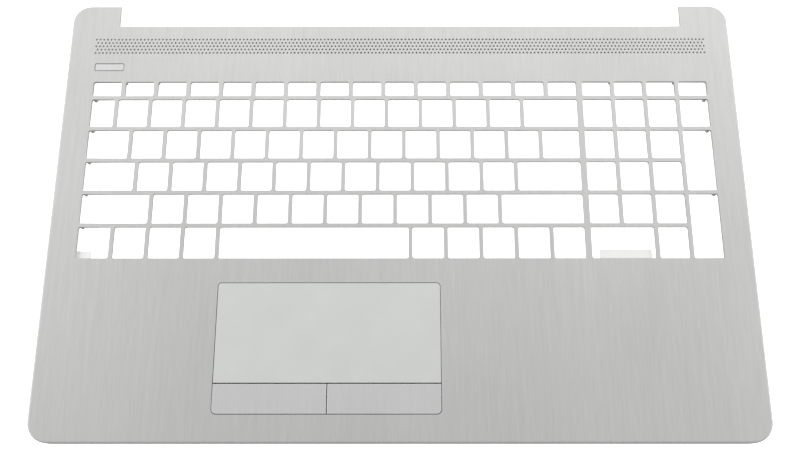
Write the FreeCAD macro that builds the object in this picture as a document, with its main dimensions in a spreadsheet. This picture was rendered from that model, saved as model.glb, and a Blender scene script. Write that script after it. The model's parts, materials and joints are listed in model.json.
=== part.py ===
import FreeCAD, Part
import math
import os

import Sketcher
from FreeCAD import Vector

# Driving sizes in millimetres: name, value, meaning
SIZES = [
    ("side_margin", 15.6, "key openings to the cover's side"),
    ("plate_thickness", 1.6, "top plate"),
    ("wall_thickness", 1.8, "rim wall"),
    ("front_corner_radius", 11.0, "front corners of the outline"),
    ("rear_corner_radius", 10.0, "outer rear corners of the outline"),
    ("notch_corner_radius", 0.8, "inner corners of the rear notch"),
    ("ear_relief", 2.1, "wall left out below the plate, on the inner side of an ear"),
    ("notch_depth", 13.2, "rear notch between the hinge ears"),
    ("top_edge_radius", 1.0, "rounding of the top edge"),
    ("numpad_width", 70.1, "four columns of the number block"),
    ("block_web", 3.25, "web between main block and number block"),
    ("key_web", 2.15, "web between two keys of a row"),
    ("row_web", 2.08, "web between two rows"),
    ("function_web", 2.4, "web between two function keys"),
    ("key_pitch", 18.88, "pitch of a normal key"),
    ("key_depth", 16.55, "opening of a normal row, front to rear"),
    ("space_row_depth", 17.3, "opening of the lowest row, front to rear"),
    ("function_depth", 8.7, "opening of the function row, front to rear"),
    ("key_corner_radius", 1.0, "corners of a key opening"),
    ("grave_cell", 14.99, "first key of the digit row with its web"),
    ("backspace_cell", 32.05, "last key of the digit row with its web"),
    ("backslash_cell", 22.38, "last key of the tab row with its web"),
    ("enter_cell", 36.65, "last key of the home row with its web"),
    ("shift_cell", 46.04, "last key of the shift row with its web"),
    ("control_cell", 19.36, "first key of the lowest row with its web"),
    ("window_width", 117.0, "touchpad window, side to side"),
    ("window_depth", 68.2, "touchpad window, front to rear"),
    ("window_front", 14.1, "front edge of the cover to the touchpad window"),
    ("window_to_keys", 13.2, "touchpad window to the lowest key row"),
    ("window_shift", 0.475, "touchpad window's middle, left of the main key block's middle"),
    ("window_front_radius", 2.6, "front corners of the touchpad window"),
    ("window_rear_radius", 2.0, "rear corners of the touchpad window"),
    ("button_depth", 15.15, "pad button, front to rear"),
    ("button_clearance", 0.25, "round the pad and the pad buttons"),
    ("button_parting", 0.5, "between the pad and its buttons"),
    ("button_split", 0.4, "between the two pad buttons"),
    ("button_thickness", 2.2, "cap of a pad button"),
    ("pad_recess", 0.1, "touch surface below the top face"),
    ("surface_thickness", 0.5, "touch surface sheet"),
    ("pad_board_inset", 0.5, "board inside the surface sheet's edge"),
    ("sheet_thickness", 0.4, "steel of the touchpad bracket"),
    ("bracket_lap", 3.5, "bracket beyond the window"),
    ("bracket_set_back", 0.85, "bracket web behind the front edge of the pad"),
    ("bracket_opening_width", 78.0, "opening in the bracket, side to side"),
    ("bracket_opening_depth", 30.0, "opening in the bracket, front to rear"),
    ("bracket_opening_radius", 3.0, "corners of the bracket's opening"),
    ("bend_radius", 0.5, "inside bends of the bracket"),
    ("tab_end_room", 2.7, "tab screw to the end of its tab"),
    ("tab_width", 8.0, "bracket tab, front to rear"),
    ("tab_drop", 1.4, "bracket tab below the plate"),
    ("tab_slope", 1.2, "run of the tab's slanted step"),
    ("tab_screw_reach", 5.5, "bracket's side to the tab screw"),
    ("tab_boss_radius", 2.4, "boss for a tab screw"),
    ("front_tab_room", 8.5, "pad buttons to the middle of the front tabs"),
    ("rear_tab_inset", 6.3, "rear tabs' middle before the window's rear edge"),
    ("shelf_bottom", 1.0, "lower face of the bracket's shelf"),
    ("shelf_depth", 14.25, "bracket's shelf, front to rear"),
    ("screw_shank_radius", 0.95, "small screws"),
    ("screw_head_radius", 1.75, "small screws"),
    ("screw_head_height", 0.6, "small screws"),
    ("screw_bite", 2.0, "small screw into its boss"),
    ("screw_clearance", 0.25, "round a screw in a clearance hole"),
    ("thread_clearance", 0.05, "round a screw in its boss"),
    ("board_thickness", 0.8, "switch boards"),
    ("pad_switch_board_width", 104.0, "pad switch board, side to side"),
    ("pad_switch_board_depth", 10.5, "pad switch board, front to rear"),
    ("pad_switch_inset", 5.5, "pad switches before the buttons' rear edge"),
    ("board_screw_inset", 3.5, "board screws from the board's ends"),
    ("switch_width", 4.5, "switch housing, both ways"),
    ("switch_height", 1.3, "switch housing"),
    ("switch_floor", 0.2, "switch housing under its stem"),
    ("stem_radius", 0.9, "switch stem"),
    ("stem_stand", 0.4, "stem above its housing"),
    ("stem_sunk", 0.6, "stem inside its housing"),
    ("stem_clearance", 0.1, "round the stem"),
    ("post_radius", 1.5, "button post over a switch"),
    ("post_length", 0.9, "pad button's post below its cap"),
    ("arm_thickness", 1.0, "flex arms and their strip"),
    ("arm_gap", 0.1, "flex arm strip below the plate"),
    ("arm_width", 9.0, "flex arm, side to side"),
    ("arm_reach", 4.0, "flex arm under the button's cap"),
    ("strip_front", 4.5, "front edge of the strip from that of the cover"),
    ("strip_depth", 4.0, "strip, front to rear"),
    ("strip_inset", 5.0, "strip and arms inside the button's ends"),
    ("stake_radius", 1.0, "heat stakes of the strips"),
    ("stake_clearance", 0.2, "round a heat stake"),
    ("stake_head_radius", 1.8, "formed heads of the heat stakes"),
    ("stake_head_height", 0.6, "formed heads of the heat stakes"),
    ("stake_head_gap", 0.15, "formed head below the strip"),
    ("power_width", 16.6, "power button window, side to side"),
    ("power_depth", 4.6, "power button window, front to rear"),
    ("power_inset", 8.0, "power button's middle inside the first key's edge"),
    ("power_behind_keys", 9.1, "power button's middle behind the top key row"),
    ("power_radius", 0.8, "corners of the power button window"),
    ("power_clearance", 0.25, "round the power button"),
    ("power_flange", 1.2, "flange beyond the power button's cap"),
    ("power_flange_height", 0.8, "flange of the power button"),
    ("power_flange_gap", 0.1, "flange below the plate"),
    ("power_board_width", 27.6, "power switch board, side to side"),
    ("power_board_depth", 10.6, "power switch board, front to rear"),
    ("power_boss_radius", 1.8, "bosses of the power switch board"),
    ("power_boss_inset", 1.8, "bosses from the board's ends"),
    ("boss_radius", 3.0, "bosses of the base screws"),
    ("boss_bottom", 0.9, "lower end of the base screw bosses"),
    ("insert_radius", 1.8, "threaded inserts, outside"),
    ("insert_bore_radius", 1.05, "threaded inserts, inside"),
    ("insert_length", 3.0, "threaded inserts of the base screws"),
    ("insert_clearance", 0.02, "round an insert"),
    ("insert_relief", 0.4, "hole above an insert"),
    ("side_inset", 7.0, "side bosses from the cover's side"),
    ("front_boss_place", 12.0, "front side bosses from the front edge"),
    ("middle_boss_room", 8.5, "middle side bosses behind the front of the lowest key row"),
    ("rear_boss_room", 2.9, "rear side bosses before the power switch board"),
    ("edge_boss_room", 16.35, "front edge bosses beyond the touchpad window"),
    ("edge_boss_place", 8.0, "front edge bosses from the front edge"),
    ("notch_boss_half_span", 60.0, "rear edge bosses from the middle"),
    ("notch_boss_inset", 3.2, "rear edge bosses from the notch"),
    ("hinge_boss_radius", 2.8, "hinge bosses"),
    ("hinge_boss_bottom", 2.4, "lower end of the hinge bosses"),
    ("hinge_insert_length", 2.4, "threaded inserts of the hinges"),
    ("hinge_span_across", 15.0, "hinge inserts, side to side"),
    ("hinge_span_along", 10.5, "hinge inserts, front to rear"),
    ("hinge_side_inset", 7.0, "outer hinge inserts from the cover's side"),
    ("hinge_ear_room", 5.0, "inner hinge inserts from the ear's inner side"),
    ("hinge_rear_inset", 5.0, "rear hinge inserts from the ear's end"),
    ("peg_radius", 0.95, "keyboard pegs"),
    ("peg_length", 3.0, "keyboard pegs below the plate"),
    ("rib_width", 1.2, "ribs"),
    ("rib_height", 1.5, "ribs below the plate"),
    ("keyboard_side_room", 3.2, "keyboard rib outside the key openings, sides"),
    ("keyboard_end_room", 2.4, "keyboard rib behind the key openings"),
    ("keyboard_front_room", 6.0, "keyboard rib before the key openings"),
    ("palm_rib_spacing", 24.0, "cross ribs of the palm areas"),
    ("grille_behind_keys", 16.2, "grille mesh behind the top key row"),
    ("grille_depth", 12.1, "grille mesh, front to rear"),
    ("grille_overhang", 3.1, "grille mesh beyond the key openings at each end"),
    ("grille_room", 0.2, "grille mesh to the rear edge bosses"),
    ("grille_thickness", 0.3, "grille mesh"),
    ("film_thickness", 0.15, "adhesive films"),
    ("film_room", 0.6, "films inside the keyboard rib"),
    ("left_film_length", 10.5, "left film, side to side"),
    ("left_film_reach", 4.3, "left film into the first key opening"),
    ("right_film_start", 4.2, "right film inside the number block"),
    ("right_film_length", 27.8, "right film, side to side"),
    ("right_film_reach", 5.3, "right film into the zero key's opening"),
    ("chip_width", 7.0, "touchpad controller, both ways"),
    ("chip_height", 0.9, "touchpad controller"),
    ("chip_offset", 16.0, "touchpad controller left of the pad's middle"),
    ("connector_width", 12.0, "touchpad connector, side to side"),
    ("connector_depth", 4.0, "touchpad connector, front to rear"),
    ("connector_height", 1.3, "touchpad connector"),
    ("connector_offset", 18.0, "touchpad connector right of the pad's middle"),
    ("small_connector_width", 6.0, "switch board connectors, side to side"),
    ("small_connector_depth", 2.6, "switch board connectors, front to rear"),
    ("small_connector_height", 1.1, "switch board connectors"),
    ("hook_width", 8.0, "snap hooks of the rim, along the wall"),
    ("hook_reach", 0.9, "snap hooks out of the wall"),
    ("hook_height", 1.2, "snap hooks, up and down"),
    ("hook_bottom", 1.2, "lower face of the snap hooks"),
]

# Normal keys of each row, and the columns of the number block
DIGIT_ROW_KEYS = 12
TAB_ROW_KEYS = 12
HOME_ROW_KEYS = 11
SHIFT_ROW_KEYS = 10
SPACE_LEFT_KEYS = 3
SPACE_RIGHT_KEYS = 5
FUNCTION_KEYS = 15
NUMPAD_COLUMNS = 4

# Rows with a normal pitch from the digit row forward: normal keys, last cell
KEY_ROWS = [
    ("digit_row", DIGIT_ROW_KEYS, "backspace_cell"),
    ("tab_row", TAB_ROW_KEYS, "backslash_cell"),
    ("home_row", HOME_ROW_KEYS, "enter_cell"),
    ("shift_row", SHIFT_ROW_KEYS, "shift_cell"),
]
FUNCTION_ROW = len(KEY_ROWS) + 1
# Rows, counted from the lowest, in which a two-row key of the number block starts
TALL_KEY_ROWS = (0, 2)
# Webs of the function row with a peg behind them, counted from the left
PEG_WEBS = (1, 2, 7, 12)
NUMPAD_PEG_WEBS = (1, 3)

# Sizes that follow from the driving ones: name, formula, meaning
DERIVED = [
    ("main_width", f"grave_cell + {DIGIT_ROW_KEYS} * key_pitch + backspace_cell - key_web",
     "main key block, side to side"),
    ("field_width", "main_width + block_web + numpad_width", "all key openings, side to side"),
    ("field_depth", f"space_row_depth + {FUNCTION_ROW} * row_web + {len(KEY_ROWS)} * key_depth "
     "+ function_depth", "all key openings, front to rear"),
    ("cover_width", "field_width + 2 * side_margin", "across the side walls"),
    ("cover_height", "shelf_bottom + sheet_thickness + board_thickness + switch_height "
     "+ stem_stand + post_length + button_thickness", "from the rim's lower edge to the top face"),
    ("window_offset", "( numpad_width + block_web ) / 2 + window_shift",
     "touchpad window's middle, left of the cover's middle"),
    ("field_front", "window_front + window_depth + window_to_keys",
     "front edge of the cover to the lowest key row"),
    ("button_rear", "window_front + button_clearance + button_depth",
     "front edge of the cover to the buttons' rear edge"),
    ("front_tab_place", "button_rear + front_tab_room", "front tabs from the front edge"),
    ("rear_tab_place", "window_front + window_depth - rear_tab_inset",
     "rear tabs from the front edge"),
    ("tab_length", "tab_screw_reach + tab_end_room", "bracket tab beyond the bracket's side"),
    ("shelf_front", "button_rear + button_parting + bracket_set_back + sheet_thickness "
     "- shelf_depth", "front edge of the shelf from that of the cover"),
    ("pad_switch_place", "button_rear - pad_switch_inset", "pad switches from the front edge"),
    ("pad_board_thickness", "plate_thickness - pad_recess - surface_thickness",
     "touchpad circuit board, down to the plate's underside"),
    ("power_centre", "field_width / 2 - power_inset",
     "power button's middle, left of the cover's middle"),
    ("power_place", "field_front + field_depth + power_behind_keys",
     "power button's middle from the front edge"),
    ("middle_boss_place", "field_front + middle_boss_room",
     "middle side bosses from the front edge"),
    ("rear_boss_place", "power_place - power_board_depth / 2 - boss_radius - rear_boss_room",
     "rear side bosses from the front edge"),
    ("edge_boss_half_span", "window_offset + window_width / 2 + edge_boss_room",
     "front edge bosses from the middle"),
    ("grille_front", "field_front + field_depth + grille_behind_keys",
     "grille mesh from the front edge"),
    ("grille_half_width", "field_width / 2 + grille_overhang", "grille mesh, half its length"),
    ("notch_boss_place", "grille_front + grille_depth + grille_room + boss_radius",
     "rear edge bosses from the front edge"),
    ("cover_depth", "notch_boss_place + notch_boss_inset + notch_depth",
     "from the front edge to the ends of the hinge ears"),
    ("ear_width", "hinge_side_inset + hinge_span_across + hinge_ear_room",
     "hinge ear, side to side"),
]
# Two heights or lengths nearer than this are taken as one
NEAR = 1e-6

doc = FreeCAD.newDocument("palm_rest")
sheet = doc.addObject("Spreadsheet::Sheet", "Sizes")
for line, (alias, content, meaning) in enumerate(SIZES + DERIVED, start=1):
    sheet.set(f"A{line}", meaning)
    sheet.set(f"B{line}", f"={content}")
    sheet.setAlias(f"B{line}", alias)
doc.recompute()
ALIASES = {alias for alias, content, meaning in SIZES + DERIVED}


def bound(formula):
    """Turn a formula of sheet aliases into an expression on the sheet."""
    words = formula.replace("(", " ( ").replace(")", " ) ").split()
    return " ".join(f"Sizes.{word}" if word in ALIASES else word for word in words)


def number_of(formula):
    """Work a formula out with the sheet's present values."""
    result = sheet.evalExpression(bound(formula))
    return float(getattr(result, "Value", result))


def body_of(name):
    body = doc.addObject("PartDesign::Body", name)
    body.Label = name
    return body


class Drawing:
    """A sketch on one of a body's own origin planes, at an offset along its normal.

    Lines and constraints are gathered first and reach the sketch together.
    """

    def __init__(self, body, name, role="XY_Plane", offset="0"):
        self.sketch = body.newObject("Sketcher::SketchObject", name)
        plane = next(item for item in body.Origin.OriginFeatures if item.Role == role)
        self.sketch.AttachmentSupport = (plane, [""])
        self.sketch.MapMode = "FlatFace"
        self.sketch.setExpression("AttachmentOffset.Base.z", bound(offset))
        self.geometry = []
        self.constraints = []
        self.formulas = {}

    def add(self, shape):
        self.geometry.append(shape)
        return len(self.geometry) - 1

    def hold(self, *definition, formula=None):
        """Add a constraint, bound to a formula where it carries a size."""
        if formula:
            self.formulas[len(self.constraints)] = formula
            definition += (number_of(formula),)
        self.constraints.append(Sketcher.Constraint(*definition))

    def finish(self):
        self.sketch.addGeometry(self.geometry)
        self.sketch.addConstraint(self.constraints)
        for index, formula in self.formulas.items():
            self.sketch.setExpression(f"Constraints[{index}]", bound(formula))
        self.sketch.Visibility = False
        return self.sketch


def draw_loop(drawing, corners):
    """Draw a closed loop of level and upright lines with rounded corners.

    Each corner is (x, y, radius) as formulas, and a radius of "0" leaves it sharp.
    """
    places = [Vector(number_of(x), number_of(y), 0) for x, y, radius in corners]
    radii = [number_of(radius) for x, y, radius in corners]
    count = len(corners)
    steps = [(places[(index + 1) % count] - places[index]).normalize() for index in range(count)]
    lines = []
    for index in range(count):
        after = (index + 1) % count
        start = places[index] + steps[index] * radii[index]
        end = places[after] - steps[index] * radii[after]
        lines.append(drawing.add(Part.LineSegment(start, end)))
    for index, (x, y, radius) in enumerate(corners):
        line = lines[index]
        line_before = lines[index - 1]
        into = steps[index - 1]
        out = steps[index]
        if abs(out.x) > abs(out.y):
            drawing.hold("Horizontal", line)
            drawing.hold("DistanceY", line, 1, formula=y)
        else:
            drawing.hold("Vertical", line)
            drawing.hold("DistanceX", line, 1, formula=x)
        if radius == "0":
            drawing.hold("Coincident", line_before, 2, line, 1)
            continue
        corner = places[index]
        centre = corner + (out - into) * radii[index]
        middle = centre + (corner - centre) * (1 / 2 ** 0.5)
        start = corner - into * radii[index]
        end = corner + out * radii[index]
        arc = drawing.add(Part.Arc(start, middle, end))
        turns_left = into.x * out.y - into.y * out.x > 0
        first, last = (1, 2) if turns_left else (2, 1)
        drawing.hold("Tangent", line_before, 2, arc, first)
        drawing.hold("Tangent", arc, last, line, 1)
        drawing.hold("Radius", arc, formula=radius)


def draw_rectangle(drawing, left, right, front, rear, radius="0", rear_radius=None):
    rear_radius = rear_radius or radius
    draw_loop(drawing, [(left, front, radius), (right, front, radius),
                        (right, rear, rear_radius), (left, rear, rear_radius)])


def draw_circle(drawing, x, y, radius):
    centre = Vector(number_of(x), number_of(y), 0)
    circle = drawing.add(Part.Circle(centre, Vector(0, 0, 1), number_of(radius)))
    drawing.hold("DistanceX", circle, 3, formula=x)
    drawing.hold("DistanceY", circle, 3, formula=y)
    drawing.hold("Radius", circle, formula=radius)


def draw_polygon(drawing, points):
    """Draw a closed loop of straight lines through points given as formulas."""
    places = [Vector(number_of(x), number_of(y), 0) for x, y in points]
    lines = [drawing.add(Part.LineSegment(start, end))
             for start, end in zip(places, places[1:] + places[:1])]
    for index, (x, y) in enumerate(points):
        drawing.hold("Coincident", lines[index - 1], 2, lines[index], 1)
        drawing.hold("DistanceX", lines[index], 1, formula=x)
        drawing.hold("DistanceY", lines[index], 1, formula=y)


def pad(body, drawing, name, length, down=False):
    sketch = drawing.finish()
    feature = body.newObject("PartDesign::Pad", name)
    feature.Profile = sketch
    feature.setExpression("Length", bound(length))
    feature.Reversed = down
    feature.Refine = False
    return feature


def pocket_up(body, drawing, name, length=None):
    """Cut upwards from the sketch, through all where no length is given."""
    sketch = drawing.finish()
    feature = body.newObject("PartDesign::Pocket", name)
    feature.Profile = sketch
    feature.Reversed = True
    feature.Refine = False
    if length:
        feature.setExpression("Length", bound(length))
    else:
        feature.Type = "ThroughAll"
    return feature


def plate_piece(name, bottom, thickness, outline, holes=()):
    """Make a flat piece from an outline drawn by a rectangle and round holes."""
    body = body_of(name)
    drawing = Drawing(body, f"{name}_outline", offset=bottom)
    draw_rectangle(drawing, *outline)
    for x, y, radius in holes:
        draw_circle(drawing, x, y, radius)
    pad(body, drawing, f"{name}_pad", thickness)
    return body


def cylinder(name, x, y, bottom, radius, length):
    feature = doc.addObject("Part::Cylinder", name)
    feature.setExpression("Radius", bound(radius))
    feature.setExpression("Height", bound(length))
    feature.setExpression("Placement.Base.x", bound(x))
    feature.setExpression("Placement.Base.y", bound(y))
    feature.setExpression("Placement.Base.z", bound(bottom))
    return feature


def group(name, members):
    compound = doc.addObject("Part::Compound", name)
    compound.Label = name
    compound.Links = members
    return compound


# Heights and places that several pieces share
UNDERSIDE = "( cover_height - plate_thickness )"
FRONT = "( 0 - cover_depth / 2 )"
REAR = "( cover_depth / 2 )"
NOTCH = "( cover_depth / 2 - notch_depth )"
EAR = "( cover_width / 2 - ear_width )"
WINDOW_LEFT = "( 0 - window_offset - window_width / 2 )"
WINDOW_RIGHT = "( 0 - window_offset + window_width / 2 )"
WINDOW_FRONT = f"( {FRONT} + window_front )"
WINDOW_REAR = f"( {WINDOW_FRONT} + window_depth )"
BUTTON_REAR = f"( {FRONT} + button_rear )"
PAD_FRONT = f"( {BUTTON_REAR} + button_parting )"
PAD_BOTTOM = "( cover_height - pad_recess - surface_thickness - pad_board_thickness )"
FIELD_LEFT = "( 0 - field_width / 2 )"
FIELD_RIGHT = "( field_width / 2 )"
FIELD_FRONT = f"( {FRONT} + field_front )"
MAIN_RIGHT = "( field_width / 2 - numpad_width - block_web )"
NUMPAD_LEFT = "( field_width / 2 - numpad_width )"
NUMPAD_PITCH = f"( ( numpad_width + key_web ) / {NUMPAD_COLUMNS} )"
POWER_X = "( 0 - power_centre )"
POWER_Y = f"( {FRONT} + power_place )"
SWITCH_BOARD_BOTTOM = "( shelf_bottom + sheet_thickness )"
SWITCH_BOTTOM = f"( {SWITCH_BOARD_BOTTOM} + board_thickness )"
SWITCH_TOP = f"( {SWITCH_BOTTOM} + switch_height )"
STEM_TOP = f"( {SWITCH_TOP} + stem_stand )"
STRIP_TOP = f"( {UNDERSIDE} - arm_gap )"
STRIP_BOTTOM = f"( {STRIP_TOP} - arm_thickness )"
STRIP_FRONT = f"( {FRONT} + strip_front )"
STRIP_MIDDLE = f"( {STRIP_FRONT} + strip_depth / 2 )"
PAD_SWITCH_Y = f"( {FRONT} + pad_switch_place )"


def row_front(row):
    """Front edge of a key row, counted from the lowest row."""
    if row == 0:
        return FIELD_FRONT
    return (f"( {FIELD_FRONT} + space_row_depth + row_web "
            f"+ {row - 1} * ( key_depth + row_web ) )")


def row_rear(row):
    depths = {0: "space_row_depth", FUNCTION_ROW: "function_depth"}
    return f"( {row_front(row)} + {depths.get(row, 'key_depth')} )"


def even_keys(start, pitch, web, count):
    """Left and right edges of keys at an even pitch."""
    return [(f"( {start} + {index} * {pitch} )", f"( {start} + {index + 1} * {pitch} - {web} )")
            for index in range(count)]


def letter_row_keys(normal_keys, last_cell):
    """The last key ends at the block's edge, and the first fills what is left."""
    last_left = f"( {MAIN_RIGHT} + key_web - {last_cell} )"
    normal_start = f"( {last_left} - {normal_keys} * key_pitch )"
    return ([(FIELD_LEFT, f"( {normal_start} - key_web )")]
            + even_keys(normal_start, "key_pitch", "key_web", normal_keys)
            + [(last_left, MAIN_RIGHT)])


def key_openings():
    """Every key opening as a row name with (left, right, front, rear) formulas."""
    main_pitch = f"( ( {MAIN_RIGHT} - {FIELD_LEFT} + function_web ) / {FUNCTION_KEYS} )"
    function_keys = (even_keys(FIELD_LEFT, main_pitch, "function_web", FUNCTION_KEYS)
                     + even_keys(NUMPAD_LEFT, NUMPAD_PITCH, "key_web", NUMPAD_COLUMNS))
    numpad = even_keys(NUMPAD_LEFT, NUMPAD_PITCH, "key_web", NUMPAD_COLUMNS)
    rows = {"function_row": [(*key, row_front(FUNCTION_ROW), row_rear(FUNCTION_ROW))
                             for key in function_keys]}
    for place, (name, normal_keys, last_cell) in enumerate(KEY_ROWS):
        row = len(KEY_ROWS) - place
        keys = letter_row_keys(normal_keys, last_cell) + numpad[:3]
        rows[name] = [(*key, row_front(row), row_rear(row)) for key in keys]
    rows["digit_row"].append((*numpad[3], row_front(4), row_rear(4)))
    rows["home_row"].append((*numpad[3], row_front(2), row_rear(3)))
    first_right = f"( {FIELD_LEFT} + control_cell )"
    space_left = f"( {first_right} + {SPACE_LEFT_KEYS} * key_pitch )"
    space_right = f"( {MAIN_RIGHT} + key_web - {SPACE_RIGHT_KEYS} * key_pitch )"
    lowest = [(FIELD_LEFT, f"( {first_right} - key_web )")]
    lowest += even_keys(first_right, "key_pitch", "key_web", SPACE_LEFT_KEYS)
    lowest += [(space_left, f"( {space_right} - key_web )")]
    lowest += even_keys(space_right, "key_pitch", "key_web", SPACE_RIGHT_KEYS)
    lowest += [(numpad[0][0], numpad[1][1]), numpad[2]]
    rows["space_row"] = [(*key, row_front(0), row_rear(0)) for key in lowest]
    rows["space_row"].append((*numpad[3], row_front(0), row_rear(1)))
    return rows


def cover_outline(inset):
    """Corners of the cover's outline, or of the cavity inside its wall."""
    side = f"( cover_width / 2 - {inset} )"
    ear = f"( {EAR} + {inset} )"
    front = f"( {FRONT} + {inset} )"
    rear = f"( {REAR} - {inset} )"
    notch = f"( {NOTCH} - {inset} )"
    front_radius = f"( front_corner_radius - {inset} )"
    rear_radius = f"( rear_corner_radius - {inset} )"
    notch_radius = f"( notch_corner_radius + {inset} )"
    return [(f"( 0 - {side} )", front, front_radius), (side, front, front_radius),
            (side, rear, rear_radius), (ear, rear, "0"),
            (ear, notch, notch_radius), (f"( 0 - {ear} )", notch, notch_radius),
            (f"( 0 - {ear} )", rear, "0"), (f"( 0 - {side} )", rear, rear_radius)]


def base_screw_places():
    """Middles of the bosses that take the base cover's screws."""
    side = "( cover_width / 2 - side_inset )"
    places = []
    for sign in ("-1", "1"):
        for place in ("front_boss_place", "middle_boss_place", "rear_boss_place"):
            places.append((f"( {sign} * {side} )", f"( {FRONT} + {place} )"))
        places.append((f"( {sign} * edge_boss_half_span )", f"( {FRONT} + edge_boss_place )"))
        places.append((f"( {sign} * notch_boss_half_span )", f"( {FRONT} + notch_boss_place )"))
    return places


def hinge_screw_places(sign):
    """Middles of the four hinge bosses of one ear."""
    outer = "( cover_width / 2 - hinge_side_inset )"
    rear = f"( {REAR} - hinge_rear_inset )"
    return [(f"( {sign} * ( {outer} - {across} ) )", f"( {rear} - {along} )")
            for across in ("0", "hinge_span_across") for along in ("0", "hinge_span_along")]


def tab_screws():
    """Side, x and y of the four bracket tab screws."""
    sides = [("-1", f"( {WINDOW_LEFT} - bracket_lap - tab_screw_reach )"),
             ("1", f"( {WINDOW_RIGHT} + bracket_lap + tab_screw_reach )")]
    return [(sign, x, f"( {FRONT} + {place} )")
            for sign, x in sides for place in ("front_tab_place", "rear_tab_place")]


def button_span(side):
    """Left and right edges of a pad button's cap."""
    split = "( 0 - window_offset )"
    if side == "left":
        return f"( {WINDOW_LEFT} + button_clearance )", f"( {split} - button_split / 2 )"
    return f"( {split} + button_split / 2 )", f"( {WINDOW_RIGHT} - button_clearance )"


def arm_places(side):
    """Middles of a pad button's two flex arms, which are also its heat stakes'."""
    left, right = button_span(side)
    return [f"( {left} + strip_inset + arm_width / 2 )", f"( {right} - strip_inset - arm_width / 2 )"]


def pad_switch_x(side):
    left, right = button_span(side)
    return f"( ( {left} + {right} ) / 2 )"


def power_screw_places():
    reach = "( power_board_width / 2 - power_boss_inset )"
    return [(f"( {POWER_X} + {sign} * {reach} )", POWER_Y) for sign in ("-1", "1")]


def peg_places():
    """Pegs stand under the webs at the rear corners of the outer keys and along the top row."""
    places = []
    for row in range(FUNCTION_ROW):
        y = f"( {row_rear(row)} + row_web / 2 )"
        places.append((f"( {FIELD_LEFT} + peg_radius )", y))
        if row not in TALL_KEY_ROWS:
            places.append((f"( {FIELD_RIGHT} - peg_radius )", y))
    pitch = f"( ( {MAIN_RIGHT} - {FIELD_LEFT} + function_web ) / {FUNCTION_KEYS} )"
    rear = f"( {row_rear(FUNCTION_ROW)} + peg_radius )"
    for web in PEG_WEBS:
        places.append((f"( {FIELD_LEFT} + {web} * {pitch} - function_web / 2 )", rear))
    for web in NUMPAD_PEG_WEBS:
        places.append((f"( {NUMPAD_LEFT} + {web} * {NUMPAD_PITCH} - key_web / 2 )", rear))
    return places


def add_underside(body):
    """Add bosses, pegs, stakes, ribs and hooks below the cover's plate."""
    bosses = Drawing(body, "boss_circles", offset=UNDERSIDE)
    for x, y in base_screw_places():
        draw_circle(bosses, x, y, "boss_radius")
    pad(body, bosses, "base_bosses", f"{UNDERSIDE} - boss_bottom", down=True)

    hinge_bosses = Drawing(body, "hinge_boss_circles", offset=UNDERSIDE)
    for x, y in hinge_screw_places("-1") + hinge_screw_places("1"):
        draw_circle(hinge_bosses, x, y, "hinge_boss_radius")
    pad(body, hinge_bosses, "hinge_bosses", f"{UNDERSIDE} - hinge_boss_bottom", down=True)

    tab_bosses = Drawing(body, "tab_boss_circles", offset=UNDERSIDE)
    for sign, x, y in tab_screws():
        draw_circle(tab_bosses, x, y, "tab_boss_radius")
    pad(body, tab_bosses, "tab_bosses", "tab_drop", down=True)

    power_bosses = Drawing(body, "power_boss_circles", offset=UNDERSIDE)
    for x, y in power_screw_places():
        draw_circle(power_bosses, x, y, "power_boss_radius")
    pad(body, power_bosses, "power_bosses", f"{UNDERSIDE} - {SWITCH_BOTTOM}", down=True)

    pegs = Drawing(body, "peg_circles", offset=UNDERSIDE)
    for x, y in peg_places():
        draw_circle(pegs, x, y, "peg_radius")
    pad(body, pegs, "keyboard_pegs", "peg_length", down=True)

    stakes = Drawing(body, "stake_circles", offset=UNDERSIDE)
    heads_top = f"( {STRIP_BOTTOM} - stake_head_gap )"
    heads = Drawing(body, "stake_head_circles", offset=heads_top)
    for side in ("left", "right"):
        for x in arm_places(side):
            draw_circle(stakes, x, STRIP_MIDDLE, "stake_radius")
            draw_circle(heads, x, STRIP_MIDDLE, "stake_head_radius")
    pad(body, stakes, "heat_stakes", f"{UNDERSIDE} - {heads_top}", down=True)
    pad(body, heads, "heat_stake_heads", "stake_head_height", down=True)
    add_ribs(body)
    add_hooks(body)


def rib_steps(inner, wall):
    """Whole steps from the front edge boss to the cross ribs between two places."""
    start = number_of("edge_boss_half_span")
    spacing = number_of("palm_rib_spacing")
    first = math.ceil((number_of(inner) - start) / spacing)
    last = math.floor((number_of(f"( {wall} - front_corner_radius )") - start) / spacing)
    return range(first, last + 1)


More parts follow.
